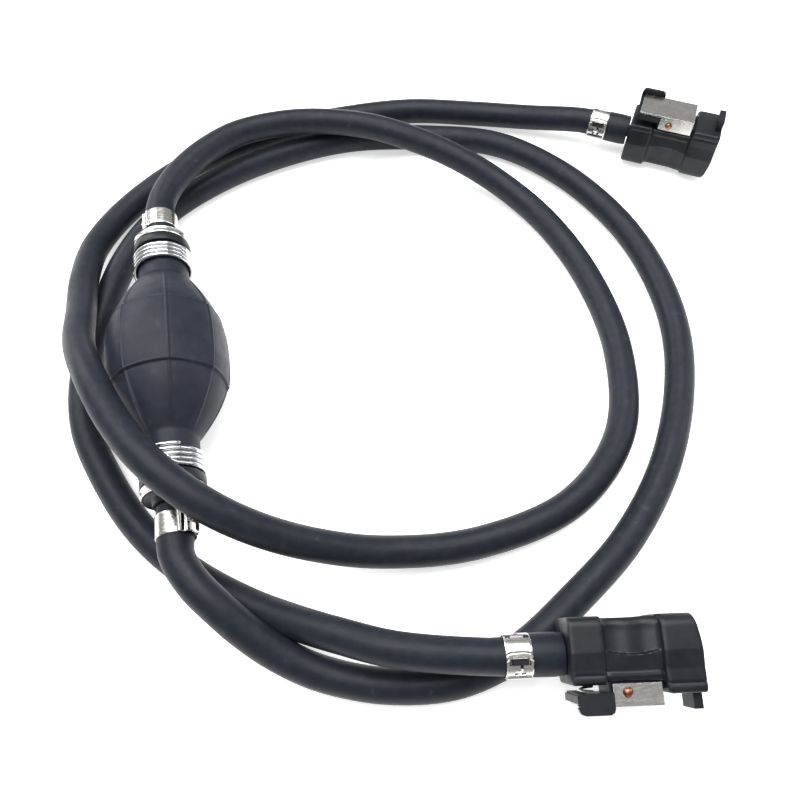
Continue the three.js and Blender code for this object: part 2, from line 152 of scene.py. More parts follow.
# The hose routes in metres, bulb end first, without the straight stretch at the connector.
OUTLET_ROUTE = (
    (0, 0.07, 0.026), (0, 0.08, 0.026), (0, 0.09, 0.026), (0.0042, 0.102, 0.0262),
    (0.013, 0.115, 0.0262), (0.0257, 0.1278, 0.0254), (0.0435, 0.1396, 0.0234),
    (0.075, 0.1442, 0.0216), (0.109, 0.1348, 0.0215), (0.1324, 0.1218, 0.02),
    (0.1557, 0.1063, 0.0155), (0.1772, 0.086, 0.0095), (0.1928, 0.0579, 0.0073),
    (0.202, 0.0197, 0.0069), (0.2021, -0.0218, 0.0069), (0.1888, -0.0628, 0.0069),
    (0.1588, -0.0901, 0.007), (0.1163, -0.1, 0.0074), (0.0782, -0.0982, 0.0115),
    (0.0513, -0.0934, 0.021), (0.0296, -0.0864, 0.0325), (0.0118, -0.0759, 0.042),
    (-0.0039, -0.06, 0.0472), (-0.0164, -0.0399, 0.0462), (-0.0254, -0.0189, 0.045),
    (-0.034, 0.0064, 0.0366), (-0.037, 0.0326, 0.0265), (-0.039, 0.0596, 0.0175),
    (-0.0356, 0.0866, 0.0105), (-0.0191, 0.113, 0.0074), (0.0103, 0.1367, 0.0069),
    (0.0517, 0.1539, 0.0069), (0.0961, 0.1594, 0.0069), (0.1372, 0.1589, 0.0069),
    (0.1751, 0.1492, 0.0072), (0.2022, 0.1384, 0.0094),
)
INLET_ROUTE = (
    (0, -0.07, 0.026), (0, -0.08, 0.026), (0, -0.09, 0.026), (0.0055, -0.1016, 0.0254),
    (0.0133, -0.1115, 0.0224), (0.0223, -0.1212, 0.017), (0.0333, -0.1303, 0.0116),
    (0.0472, -0.1388, 0.0077), (0.0703, -0.1474, 0.0069), (0.0962, -0.1503, 0.0069),
    (0.1219, -0.1439, 0.0069), (0.1473, -0.1295, 0.0069), (0.1754, -0.1102, 0.0069),
    (0.2003, -0.0843, 0.0069), (0.2196, -0.0529, 0.0069), (0.2322, -0.0178, 0.0069),
    (0.235, 0.0179, 0.0069), (0.2286, 0.0554, 0.0069), (0.2094, 0.0945, 0.0069),
    (0.1812, 0.1227, 0.0069), (0.1471, 0.1346, 0.0069), (0.0992, 0.1418, 0.0069),
    (0.0502, 0.1333, 0.0069), (0.0131, 0.1163, 0.0069), (-0.0082, 0.0989, 0.0069),
    (-0.023, 0.0762, 0.0069), (-0.0338, 0.0458, 0.0069), (-0.0414, 0.0147, 0.0069),
    (-0.041, -0.0158, 0.0069), (-0.0315, -0.0437, 0.0069), (-0.0181, -0.069, 0.0069),
    (-0.0006, -0.0896, 0.0071), (0.0201, -0.1065, 0.0081), (0.0388, -0.1189, 0.013),
    (0.0567, -0.1294, 0.019), (0.075, -0.1385, 0.023),
)
ROUTES = {"inlet": INLET_ROUTE, "outlet": OUTLET_ROUTE}
# The way each band's ear points.
BULB_EARS = {"inlet": (1, 0, 0.5), "outlet": (-1, 0, 0.15)}
CONNECTOR_EARS = {"inlet": (0, -0.63, 0.78), "outlet": (-0.46, -0.8, 0.37)}


# ------------------------------------------------------------ camera, light
def aim(thing, at, target):
    thing.location = at
    thing.rotation_euler = (Vector(target) - Vector(at)).to_track_quat("-Z", "Y").to_euler()


def add_camera():
    data = bpy.data.cameras.new("camera")
    data.lens = CAMERA_LENS
    data.sensor_width = 36
    data.clip_start = 0.01
    camera = bpy.data.objects.new("camera", data)
    bpy.context.scene.collection.objects.link(camera)
    aim(camera, CAMERA_AT, CAMERA_TARGET)
    bpy.context.scene.camera = camera


def add_area_light(name, at, size, watts):
    data = bpy.data.lights.new(name, "AREA")
    data.shape = "RECTANGLE"
    data.size, data.size_y = size
    data.energy = watts
    lamp = bpy.data.objects.new(name, data)
    bpy.context.scene.collection.objects.link(lamp)
    aim(lamp, at, LIGHT_TARGET)


def add_light():
    add_area_light("softbox_overhead", (0.0, 0.25, 1.3), (1.5, 1.2), 34)
    add_area_light("softbox_back_left", (-0.7, 0.9, 0.7), (0.8, 0.5), 9)
    add_area_light("softbox_right", (1.1, 0.1, 0.6), (0.4, 0.8), 4)
    world = bpy.data.worlds.new("studio")
    world.use_nodes = True
    background = world.node_tree.nodes["Background"]
    background.inputs["Color"].default_value = (1, 1, 1, 1)
    background.inputs["Strength"].default_value = 0.42
    bpy.context.scene.world = world
    bpy.context.scene.view_settings.view_transform = "Standard"


# ----------------------------------------------------------------- materials
class Finish:
    """A Principled material whose colour, roughness and bump come from procedural noise."""

    def __init__(self, name, coords="Object", **constants):
        self.material = bpy.data.materials.new(name)
        self.material.use_nodes = True
        self.tree = self.material.node_tree
        self.shader = self.tree.nodes["Principled BSDF"]
        self.coords = self.tree.nodes.new("ShaderNodeTexCoord").outputs[coords]
        for socket, value in constants.items():
            self.shader.inputs[socket.replace("_", " ")].default_value = value

    def link(self, output, target):
        self.tree.links.new(output, target)

    def noise(self, scale, detail=2.0, stretch=(1, 1, 1)):
        mapping = self.tree.nodes.new("ShaderNodeMapping")
        mapping.inputs["Scale"].default_value = stretch
        texture = self.tree.nodes.new("ShaderNodeTexNoise")
        texture.inputs["Scale"].default_value = scale
        texture.inputs["Detail"].default_value = detail
        self.link(self.coords, mapping.inputs["Vector"])
        self.link(mapping.outputs["Vector"], texture.inputs["Vector"])
        return texture.outputs["Fac"]

    def colour(self, dark, light, fac, scuff=None):
        """A blend from dark to light; scuff is the colour of the few spots beyond the light end."""
        ramp = self.tree.nodes.new("ShaderNodeValToRGB")
        ramp.color_ramp.elements[0].position = 0.35
        ramp.color_ramp.elements[0].color = (*dark, 1)
        ramp.color_ramp.elements[1].position = 0.65
        ramp.color_ramp.elements[1].color = (*light, 1)
        if scuff:
            spot = ramp.color_ramp.elements.new(0.65 + 0.08)
            spot.color = (*scuff, 1)
        self.link(fac, ramp.inputs["Fac"])
        self.link(ramp.outputs["Color"], self.shader.inputs["Base Color"])

    def roughness(self, low, high, fac):
        spread = self.tree.nodes.new("ShaderNodeMapRange")
        spread.inputs["From Min"].default_value = 0.3
        spread.inputs["From Max"].default_value = 0.7
        spread.inputs["To Min"].default_value = low
        spread.inputs["To Max"].default_value = high
        self.link(fac, spread.inputs["Value"])
        self.link(spread.outputs["Result"], self.shader.inputs["Roughness"])

    def bump(self, *layers):
        """Each layer is (height, depth in metres); later layers ride on earlier ones."""
        normal = None
        for height, depth in layers:
            node = self.tree.nodes.new("ShaderNodeBump")
            node.inputs["Distance"].default_value = depth
            node.inputs["Strength"].default_value = 1.0
            self.link(height, node.inputs["Height"])
            if normal:
                self.link(normal, node.inputs["Normal"])
            normal = node.outputs["Normal"]
        self.link(normal, self.shader.inputs["Normal"])


def bulb_rubber():
    finish = Finish("bulb_rubber", Specular_IOR_Level=0.16)
    finish.colour((0.0125, 0.0148, 0.0222), (0.0172, 0.0204, 0.0298), finish.noise(170, 5),
                  scuff=(0.023, 0.027, 0.036))
    finish.roughness(0.42, 0.52, finish.noise(260, 3))
    finish.bump((finish.noise(1500, 2), 0.000012), (finish.noise(120, 3), 0.00008))
    return finish.material


def hose_rubber():
    """UV runs along the hose and round it, so the faint extrusion lines follow its length."""
    finish = Finish("hose_rubber", "UV", Specular_IOR_Level=0.16)
    finish.colour((0.0095, 0.0118, 0.0170), (0.0138, 0.0168, 0.0238), finish.noise(240, 5),
                  scuff=(0.024, 0.028, 0.037))
    finish.roughness(0.36, 0.54, finish.noise(150, 3, (0.3, 1, 1)))
    lines = finish.noise(900, 2, (0.03, 1, 1))
    finish.bump((lines, 0.00004), (finish.noise(1800, 2), 0.00002), (finish.noise(50, 2), 0.0002))
    return finish.material


def black_nylon():
    finish = Finish("black_nylon", Specular_IOR_Level=0.28)
    finish.colour((0.005, 0.0062, 0.0092), (0.008, 0.0098, 0.0138), finish.noise(140, 4))
    finish.roughness(0.34, 0.46, finish.noise(420, 3))
    finish.bump((finish.noise(2600, 2), 0.00002), (finish.noise(160, 2), 0.00006))
    return finish.material


def valve_plastic():
    finish = Finish("valve_plastic")
    finish.colour((0.045, 0.046, 0.050), (0.060, 0.062, 0.066), finish.noise(300, 3))
    finish.roughness(0.38, 0.5, finish.noise(500, 2))
    finish.bump((finish.noise(1900, 2), 0.00003))
    return finish.material


def seal_rubber():
    finish = Finish("seal_rubber")
    finish.colour((0.010, 0.010, 0.012), (0.016, 0.016, 0.018), finish.noise(400, 2))
    finish.roughness(0.35, 0.5, finish.noise(700, 2))
    finish.bump((finish.noise(1500, 2), 0.00002))
    return finish.material


def metal(name, dark, light, rough, grain, stretch=(1, 1, 1)):
    """Bare metal with a faint grain; stretch draws the grain out along an axis."""
    finish = Finish(name, Metallic=1.0)
    finish.colour(dark, light, finish.noise(220, 4))
    finish.roughness(rough[0], rough[1], finish.noise(grain, 3, stretch))
    finish.bump((finish.noise(grain, 2, stretch), 0.000003), (finish.noise(170, 2), 0.00002))
    return finish.material


def make_materials():
    return {
        "bulb_rubber": bulb_rubber(),
        "hose_rubber": hose_rubber(),
        "black_nylon": black_nylon(),
        "valve_plastic": valve_plastic(),
        "seal_rubber": seal_rubber(),
        "stainless": metal(
            "stainless", (0.54, 0.53, 0.51), (0.63, 0.62, 0.60), (0.18, 0.3), 1300, (0.2, 1, 1)),
        "zinc_wire": metal("zinc_wire", (0.5, 0.51, 0.52), (0.62, 0.63, 0.64), (0.12, 0.22), 900),
        "spring_steel": metal("spring_steel", (0.42, 0.42, 0.43), (0.55, 0.55, 0.56), (0.25, 0.4), 900),
        "steel_ball": metal("steel_ball", (0.7, 0.7, 0.71), (0.8, 0.8, 0.81), (0.06, 0.14), 600),
        "copper_pin": metal("copper_pin", (0.26, 0.09, 0.06), (0.42, 0.18, 0.11), (0.2, 0.38), 900),
    }


# -------------------------------------------------------------- mesh helpers
def build(name, points, faces, matrix=None, sharp_deg=35):
    """A smooth-shaded mesh object with its normals facing out; edges over sharp_deg stay crisp."""
    mesh = bpy.data.meshes.new(name)
    mesh.from_pydata([tuple(p) for p in points], [], faces)
    if matrix:
        mesh.transform(matrix)
    work = bmesh.new()
    work.from_mesh(mesh)
    bmesh.ops.recalc_face_normals(work, faces=work.faces)
    work.to_mesh(mesh)
    work.free()
    mesh.shade_smooth()
    mesh.set_sharp_from_angle(angle=math.radians(sharp_deg))
    piece = bpy.data.objects.new(name, mesh)
    bpy.context.scene.collection.objects.link(piece)
    return piece


def skin(rings, loop=False):
    """Points and faces joining each ring to the next; loop joins the last ring to the first."""
    count = len(rings[0])
    points = [point for ring in rings for point in ring]
    faces = []
    for i in range(len(rings) if loop else len(rings) - 1):
        here = i * count
        there = ((i + 1) % len(rings)) * count
        for k in range(count):
            n = (k + 1) % count
            faces.append((here + k, here + n, there + n, there + k))
    if not loop:
        faces.append(tuple(reversed(range(count))))
        faces.append(tuple(range(len(points) - count, len(points))))
    return points, faces


def turned_rings(section, sides):
    """Rings about the Y axis from (station, radius) points in millimetres."""
    rings = []
    for station, radius in section:
        ring = []
        for k in range(sides):
            angle = 2 * math.pi * k / sides
            ring.append(Vector((radius * math.cos(angle), station, radius * math.sin(angle))) * MM)
        rings.append(ring)
    return rings


def turned(name, section, sides, matrix, loop=False):
    return build(name, *skin(turned_rings(section, sides), loop), matrix)


def block(x0, x1, y0, y1, z0, z1):
    """A box in millimetres, as points and faces in metres."""
    outline = ((x0, y0), (x1, y0), (x1, y1), (x0, y1))
    return skin([[Vector((x, y, z)) * MM for x, y in outline] for z in (z0, z1)])


def rod(centre, axis, radius, length, sides=32):
    """A round bar in millimetres about centre along a unit axis, as points and faces in metres."""
    turn = Vector((0, 0, 1)).rotation_difference(Vector(axis)).to_matrix()
    rings = []
    for end in (-length / 2, length / 2):
        ring = []
        for k in range(sides):
            angle = 2 * math.pi * k / sides
            local = Vector((radius * math.cos(angle), radius * math.sin(angle), end))
            ring.append((Vector(centre) + turn @ local) * MM)
        rings.append(ring)
    return skin(rings)


def apply_boolean(piece, shape, operation):
    tool = build("tool", *shape)
    modifier = piece.modifiers.new("cut", "BOOLEAN")
    modifier.operation = operation
    modifier.solver = "EXACT"
    modifier.object = tool
    flatten(piece)
    bpy.data.objects.remove(tool)


def flatten(piece):
    """Replaces the piece's mesh by the result of its modifiers."""
    depsgraph = bpy.context.evaluated_depsgraph_get()
    result = bpy.data.meshes.new_from_object(piece.evaluated_get(depsgraph))
    piece.modifiers.clear()
    piece.data = result


def soften(piece, width, segments=2):
    """Rounds the piece's edges by a bevel, in millimetres."""
    edge = piece.modifiers.new("edge", "BEVEL")
    edge.width = width * MM
    edge.segments = segments
    edge.limit_method = "ANGLE"
    edge.angle_limit = BEVEL_ANGLE
    edge.harden_normals = True
    flatten(piece)


def finish_piece(piece, slot, body, *replaced):
    piece.data.materials.append(MATERIALS[slot])
    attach(piece, body)
    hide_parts(*replaced)
    return piece


def smoothstep(low, high, value):
    """0 below low, 1 above high and a smooth rise between them."""
    t = min(max((value - low) / (high - low), 0), 1)
    return t * t * (3 - 2 * t)


def bell(value, width):
    """1 where value is 0, falling away over about width on either side."""
    return math.exp(-((value / width) ** 2))


# --------------------------------------------------------------------- frames
def connector_matrix(end):
    """X forward from the middle of the rear face, Z towards the latch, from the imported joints."""
    press = JOINTS[f"{end}_latch_press"]
    forward = -Vector(JOINTS[f"{end}_ball_push"]["axis"])
    across = -Vector(press["axis"])
    latch = forward.cross(across)
    origin = Vector(press["pos_m"]) - PIN_X * forward - PIN_Z * latch
    matrix = Matrix((forward, across, latch)).transposed().to_4x4()
    matrix.translation = origin
    return matrix


def centripetal(points):
    """Points along the same smooth curve as the CAD hose, CURVE_STEPS to a span."""
    line = []
    last = len(points) - 1
    for i in range(last):
        p1, p2 = points[i], points[i + 1]
        p0 = points[i - 1] if i else 2 * p1 - p2
        p3 = points[i + 2] if i + 2 <= last else 2 * p2 - p1
        d0, d1, d2 = (math.sqrt((b - a).length) for a, b in ((p0, p1), (p1, p2), (p2, p3)))
        start = ((p1 - p0) / d0 - (p2 - p0) / (d0 + d1) + (p2 - p1) / d1) * d1
        finish = ((p2 - p1) / d1 - (p3 - p1) / (d1 + d2) + (p3 - p2) / d2) * d1
        for k in range(CURVE_STEPS):
            t = k / CURVE_STEPS
            cubic = (2 * p1 - 2 * p2 + start + finish) * t**3
            line.append(cubic + (3 * p2 - 3 * p1 - 2 * start - finish) * t**2 + start * t + p1)
    line.append(points[last])
    return line


def evenly(line, step):
    """The line again, as points about one step apart, with the distance of each."""
    lengths = [0.0]
    for a, b in zip(line, line[1:]):
        lengths.append(lengths[-1] + (b - a).length)
    count = math.ceil(lengths[-1] / step)
    points, distances, i = [], [], 0
    for k in range(count + 1):
        distance = lengths[-1] * k / count
        while i < len(line) - 2 and lengths[i + 1] < distance:
            i += 1
        share = (distance - lengths[i]) / (lengths[i + 1] - lengths[i])
        points.append(line[i].lerp(line[i + 1], share))
        distances.append(distance)
    return points, distances


def hose_line(end):
    matrix = connector_matrix(end)
    points = [Vector(point) for point in ROUTES[end]]
    for back in TAIL:
        points.append(matrix @ Vector(((-back - HOSE_TO_HOUSING_GAP) * MM, 0, 0)))
    return centripetal(points)


def tangents(points):
    ahead = points[1:] + [2 * points[-1] - points[-2]]
    behind = [2 * points[0] - points[1]] + points[:-1]
    return [(a - b).normalized() for a, b in zip(ahead, behind)]


def tube_rings(points, radii, sides, side):
    """A ring of points about each point of a line; side is where the first ring starts."""
    rings = []
    for point, tangent, radius in zip(points, tangents(points), radii):
        side = (side - side.dot(tangent) * tangent).normalized()
        over = tangent.cross(side)
        ring = []
        for k in range(sides):
            angle = 2 * math.pi * k / sides
            ring.append(point + radius * (math.cos(angle) * side + math.sin(angle) * over))
        rings.append(ring)
    return rings


# ---------------------------------------------------------------------- hoses
def hose_radius(distance, length):
    """The wall swells over the barb at each end, its cut edge is rounded and the band nips it."""
    from_bulb = distance / MM
    from_connector = (length - distance) / MM
    swell = BULB_END_FLARE * (1 - smoothstep(11, 24, from_bulb))
    swell += CONNECTOR_END_FLARE * (1 - smoothstep(12, 26, from_connector))
    lip = CUT_EDGE_ROUND * (bell(from_bulb, 0.6) + bell(from_connector, 0.6))
    nip = BAND_NIP * bell(from_connector - BAND_FROM_CONNECTOR_END, 5)
    return HOSE_RADIUS + swell - lip - nip


def mouth_ring(edge, centre):
    """The rim of the bore, in the plane of the hose's cut end."""
    return [centre.lerp(point, HOSE_MOUTH_SHARE) for point in edge]


def hose(end):
    """The hose piece, the points of its centre line and its length."""
    line = hose_line(end)
    points, distances = evenly(line, HOSE_STEP)
    length = distances[-1]
    radii = [hose_radius(distance, length) for distance in distances]
    rings = tube_rings(points, radii, HOSE_SIDES, Vector((0, 0, 1)))
    rings = [mouth_ring(rings[0], points[0])] + rings + [mouth_ring(rings[-1], points[-1])]
    piece = build(f"{end}_hose_rubber", *skin(rings), sharp_deg=50)
    lay_uv(piece, [0.0] + distances + [length], HOSE_SIDES)
    finish_piece(piece, "hose_rubber", ROOT, f"{end}_hose")
    return piece, points, length


def lay_uv(piece, distances, sides):
    """UV in metres: along the ring order, then round the ring."""
    layer = piece.data.uv_layers.new(name="UVMap")
    for polygon in piece.data.polygons:
        columns = [piece.data.vertices[v].index % sides for v in polygon.vertices]
        wraps = max(columns) - min(columns) > sides / 2
        for loop in polygon.loop_indices:
            index = piece.data.loops[loop].vertex_index
            column = index % sides
            if wraps and column == 0:
                column = sides
            round_it = 2 * math.pi * HOSE_RADIUS * column / sides
            layer.data[loop].uv = (distances[index // sides], round_it)


# ---------------------------------------------------------------- band clamps
def band_matrix(points, tangent_list, distances, distance, earwards):
    """Y along the hose at a distance from its bulb end, Z towards the clamp's ear."""
    nearest = min(range(len(points)), key=lambda i: abs(distances[i] - distance))
    along = tangent_list[nearest]
    ear = Vector(earwards)
    ear = (ear - ear.dot(along) * along).normalized()
    across = along.cross(ear)
    matrix = Matrix((across, along, ear)).transposed().to_4x4()
    offset = distance - distances[nearest]
    matrix.translation = points[nearest] + offset * along
    return matrix


def band_height(u, w):
    """Height of the strip's outer face over the hose, u along the strip from the ear's middle."""
    lap = smoothstep(-9.6, -9.4, u) - smoothstep(6.0, 6.2, u)
    height = STRIP_FACE + STRIP_LAP * lap
    fold = -3.9 + 0.9 * (w / BAND_HALF_WIDTH) ** 4
    height += 0.9 * (smoothstep(fold, fold + 0.9, u) - smoothstep(2.9, 3.5, u))
    height += 0.4 * bell(u - fold - 1.0, 0.25) - 0.3 * bell(u - fold + 0.5, 0.4)
    height += 0.45 * bell(math.hypot(u - 0.9, w + 0.4), 0.7)
    height += 0.5 * bell(u - 5.4, 0.5)
    height += 0.25 * bell(math.hypot(u + 14, w), 0.9)
    return height - 0.2 * smoothstep(BAND_HALF_WIDTH - 0.35, BAND_HALF_WIDTH, abs(w))


def window_and_painted_shade(u, w):
    """Where the strip is sunk and darkened: partly rubber seen through real openings, partly painted shade in the
    ear's hollow and its dimples.
    """
    arch = -2.6 < u < -0.7 and abs(w) < 3.8 and not (u < -2.1 and abs(w) > 3.2)
    slit = 0 < w < 1 and -0.7 <= u < 0.7
    holes = abs(u - 2.3) < 0.45 and 0.9 < abs(w) < 1.9
    notches = abs(u + 11) < 0.7 and 2.3 < abs(w) < 4.2
    fold_slot = abs(u - 4.1) < 0.45 and abs(w) < 4.0
    return arch or slit or holes or notches or fold_slot


def strip_ring(angle, radius, columns):
    """One section of the strip at an angle from the ear: its face, then its edges and underside."""
    signed = angle if angle <= math.pi else angle - 2 * math.pi
    hose = radius / MM
    u = signed * (hose + STRIP_FACE)
    section = []
    for w in columns:
        recess = WINDOW_DEPTH if window_and_painted_shade(u, w) else 0
        section.append((w, hose + band_height(u, w) - recess))
    seat = hose + STRIP_SEAT
    top = hose + band_height(u, 0)
    # Under the ear the strip's edges overhang, and a gap shows beneath them.
    inner = BAND_HALF_WIDTH - EAR_OVERHANG * (1 - smoothstep(1.7, 2.4, abs(u)))
    under = [
        (BAND_HALF_WIDTH, max(seat, top - STRIP_EDGE)),
        (inner, max(seat, top - STRIP_LIP)),
        (inner, seat),
    ]
    section += under + [(-w, reach) for w, reach in reversed(under)]
    direction = Vector((math.sin(angle), 0, math.cos(angle)))
    return u, [(reach * direction + Vector((0, w, 0))) * MM for w, reach in section]


def band_clamp(name, node, matrix, radius):
    """A pierced stainless strip round the hose; the floors of its windows are dark rubber, standing partly for the
    hose seen through and partly for painted shade in the hollows.
    """
    columns = [-w for w in reversed(BAND_HALF_COLUMNS)] + [0] + list(BAND_HALF_COLUMNS)
    rings = []
    arcs = []
    for i in range(BAND_SIDES):
        u, ring = strip_ring(2 * math.pi * i / BAND_SIDES, radius, columns)
        arcs.append(u)
        rings.append(ring)
    piece = build(name, *skin(rings, loop=True), matrix, sharp_deg=45)
    finish_piece(piece, "stainless", ROOT, node)
    # Second slot: dark rubber for the sunk spots, partly the hose seen through and partly painted shade.
    piece.data.materials.append(MATERIALS["seal_rubber"])
    count = len(rings[0])
    for polygon in piece.data.polygons:
        spots = [(arcs[v // count], v % count) for v in polygon.vertices]
        if all(k < len(columns) for _, k in spots):
            u = sum(arc for arc, _ in spots) / len(spots)
            w = sum(columns[k] for _, k in spots) / len(spots)
            polygon.material_index = 1 if window_and_painted_shade(u, w) else 0
    return piece


# ----------------------------------------------------------------- the bulb
def along_outline(outline, station):
    """The outline's radius at a station, by smooth interpolation between its points."""
    s = min(abs(station), outline[-1][0])
    i = next(k for k in range(len(outline) - 1) if s <= outline[k + 1][0])
    (s1, r1), (s2, r2) = outline[i], outline[i + 1]
    before = outline[i - 1] if i else (-outline[1][0], outline[1][1])
    after = outline[i + 2] if i + 2 < len(outline) else (s2 + 1, r2)
    slope1 = (r2 - before[1]) / (s2 - before[0])
    slope2 = (after[1] - r1) / (after[0] - s1)
    t = (s - s1) / (s2 - s1)
    span = s2 - s1
    return (
        (2 * t**3 - 3 * t**2 + 1) * r1 + (t**3 - 2 * t**2 + t) * span * slope1
        + (3 * t**2 - 2 * t**3) * r2 + (t**3 - t**2) * span * slope2
    )


def bulb_radius(station, from_rib):
    """Radius in millimetres at a station; from_rib is the angle to the nearest lengthwise rib."""
    away = abs(station)
    radius = along_outline(BULB_OUTLINE, station)
    half_sector = math.pi / BULB_RIBS
    chord = math.cos(half_sector) / math.cos(half_sector - from_rib)
    on_cap = 1 - smoothstep(33, 41, away)
    radius *= 1 - 0.3 * on_cap * (1 - chord)
    radius += BELT_RISE * (1 - smoothstep(BELT_EDGE - 0.1, BELT_EDGE + 0.35, away))
    radius += 0.2 * bell(away - BELT_EDGE + 0.45, 0.4)
    radius -= 0.22 * bell(away - BELT_EDGE - 0.6, 0.4)
    arc = from_rib * radius
    if away < BELT_EDGE:
        return radius + RIB_HEIGHT * bell(arc, 0.38) - 0.08 * bell(arc - 0.9, 0.4)
    crease = RIB_HEIGHT * on_cap
    return radius + crease * bell(arc, 0.45) - 0.4 * crease * bell(arc - 1.1, 0.5)


def bulb_stations():
    """Where the bulb's rings stand, close together at the belt's edges and on the necks."""
    coarse = [k * 1.6 for k in range(37)]
    fine = [BELT_EDGE + (k - 10) * 0.16 for k in range(21)]
    neck = [41 + k * 0.55 for k in range(11)]
    half = sorted({round(s, 3) for s in coarse + fine + neck if s < 57.4} | {57.4, 57.8})
    return [-s for s in reversed(half[1:])] + half


def squeeze_bulb():
    """A hollow rubber shell with eight lengthwise ribs."""
    offsets_deg = (0, 0.45, 0.9, 1.4, 2.1, 3, 4.4, 7, 11, 15, 19, 22.5)
    sector = [math.radians(a) for a in offsets_deg]
    angles = []
    for rib in range(BULB_RIBS):
        middle = math.pi / 2 + BULB_TURN + rib * 2 * math.pi / BULB_RIBS
        angles += [(middle - a, a) for a in reversed(sector[1:])]
        angles += [(middle + a, a) for a in sector[:-1]]
    rings = []
    for station in bulb_stations():
        end_round = 0.4 * smoothstep(57.2, 57.8, abs(station))
        ring = []
        for angle, from_rib in angles:
            radius = bulb_radius(station, from_rib) - end_round
            ring.append(Vector((radius * math.cos(angle), station, radius * math.sin(angle))) * MM)
        rings.append(ring)
    inside = [(s, r) for s, r in reversed(BULB_CAVITY)] + [(-s, r) for s, r in BULB_CAVITY[1:]]
    for station, radius in inside:
        rings.append([
            Vector((radius * math.cos(a), station, radius * math.sin(a))) * MM for a, _ in angles])
    place = Matrix.Translation((0, 0, AXIS_Z))
    piece = build("bulb_rubber_shell", *skin(rings, loop=True), place, sharp_deg=60)
    piece.data.materials.append(MATERIALS["bulb_rubber"])
    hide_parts("squeeze_bulb", "bulb_thumb_panel")
    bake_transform(piece)


# ------------------------------------------------- necks: wires, valve bodies
def wire_piece(name, line, node):
    """A round wire along a line, a little thinner at its two cut ends."""
    points, _ = evenly(line, WIRE_STEP)
    radii = [WIRE_RADIUS] * len(points)
    radii[0] = radii[-1] = 0.8 * WIRE_RADIUS
    rings = tube_rings(points, radii, WIRE_SIDES, Vector((0, 1, 0)))
    return finish_piece(build(name, *skin(rings)), "zinc_wire", ROOT, node)


def polar(radius, angle, station):
    """A point about the bulb's axis in millimetres; angle 0 is +X and 90 degrees is up."""
    x = radius * math.cos(angle)
    z = radius * math.sin(angle)
    return Vector((x * MM, station * MM, AXIS_Z + z * MM))


def wire_clamp(end):
    """Four turns of wire round the neck; the last end is bent so that pliers can grip it."""
    low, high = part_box(f"{end}_wire_clamp")
    first = (low.y + high.y) / 2 / MM + WIRE_TURNS / 2 * WIRE_PITCH
    start = math.radians(WIRE_STARTS_DEG[end])
    knots = []
    for k in range(WIRE_TURNS * 24 + 1):
        angle = start + 2 * math.pi * k / 24
        knots.append(polar(WIRE_COIL_RADIUS, angle, first - WIRE_PITCH * k / 24))
    last = start + 2 * math.pi * WIRE_TURNS
    foot = first - WIRE_PITCH * WIRE_TURNS
    share = INLET_WIRE_END_SHARE if end == "inlet" else 1
    for turn, out, back in WIRE_END:
        knots.append(polar(WIRE_COIL_RADIUS + out, last + turn, foot + back * share))
    wire_piece(f"{end}_wire_turns", knots, f"{end}_wire_clamp")


def bulb_axis(side):
    """Stations grow away from the bulb's middle on either side."""
    return Matrix.Translation((0, 0, AXIS_Z)) @ Matrix.Diagonal((side, side, 1, 1))


def valve_body(end, side):
    """A hollow plug: sleeve in the neck, flange, collar and a barbed spigot inside the hose."""
    section = (
        (42.0, 5.8), (42.0, 7.8), (58.1, 7.8), (58.15, 12.2), (58.5, 12.8), (59.0, 12.95),
        (61.8, 12.95), (62.3, 12.7), (62.5, 12.1), (62.6, 11.6), (66.2, 11.6), (66.7, 11.3),
        (66.9, 10.6), (67.0, 9.3), (67.3, 8.6), (67.9, 8.35), (69.2, 8.35), (69.6, 8.1),
        (69.6, 3.2), (73.0, 3.2), (73.0, 3.6), (76.0, 3.2), (79.0, 3.2), (79.0, 3.6),
        (82.0, 3.2), (85.0, 3.2), (85.0, 3.6), (88.0, 2.9), (88.0, 2.2), (60.0, 2.2), (60.0, 5.8),
    )
    piece = turned(f"{end}_valve_shell", section, 72, bulb_axis(side), loop=True)
    finish_piece(piece, "black_nylon", ROOT, f"{end}_valve_body")


def trim_ring(end, side):
    section = (
        (62.75, 12.3), (62.95, 12.7), (63.3, 12.85), (63.7, 12.7), (64.2, 12.6), (65.2, 12.6),
        (65.7, 12.7), (66.0, 12.8), (66.3, 12.6), (66.45, 12.2), (66.4, 11.85), (62.8, 11.85),
    )
    piece = turned(f"{end}_neck_ring", section, 96, bulb_axis(side), loop=True)
    finish_piece(piece, "stainless", ROOT, f"{end}_trim_ring")


# ------------------------------------------------------------------ connectors
# Outer sections of the housing: station, half width, back, latch side, back corner radius.
HOUSING_STATIONS = (
    (0.0, 11.1, -11.4, 9.5, 3.2), (0.3, 11.7, -12.0, 10.1, 3.5), (0.9, 12.0, -12.3, 10.4, 3.6),
    (6.0, 12.0, -12.3, 10.4, 3.6), (11.4, 12.0, -12.3, 10.4, 3.6), (11.8, 11.8, -12.2, 10.2, 3.6),
    (12.1, 11.0, -11.9, 9.7, 3.6), (12.4, 10.6, -11.7, 9.5, 3.6), (14.0, 10.5, -11.6, 9.5, 3.6),
    (17.0, 10.5, -11.6, 9.5, 3.6), (20.0, 10.5, -11.6, 9.5, 3.6), (23.0, 10.5, -11.6, 9.5, 3.6),
    (26.0, 10.6, -11.7, 9.5, 3.7), (29.0, 10.8, -11.9, 9.6, 3.8), (31.8, 11.0, -12.0, 9.8, 4.0),
    (32.1, 11.6, -12.2, 10.6, 4.2), (32.4, 12.2, -12.3, 12.8, 4.4), (32.9, 12.5, -12.4, 13.6, 4.5),
    (34.0, 12.55, -12.4, 14.0, 4.6), (38.0, 12.6, -12.4, 14.0, 4.6), (42.0, 12.6, -12.4, 14.0, 4.6),
    (45.3, 12.6, -12.4, 14.0, 4.6), (45.8, 12.4, -12.2, 13.8, 4.5), (46.0, 12.0, -11.8, 13.4, 4.3),
)
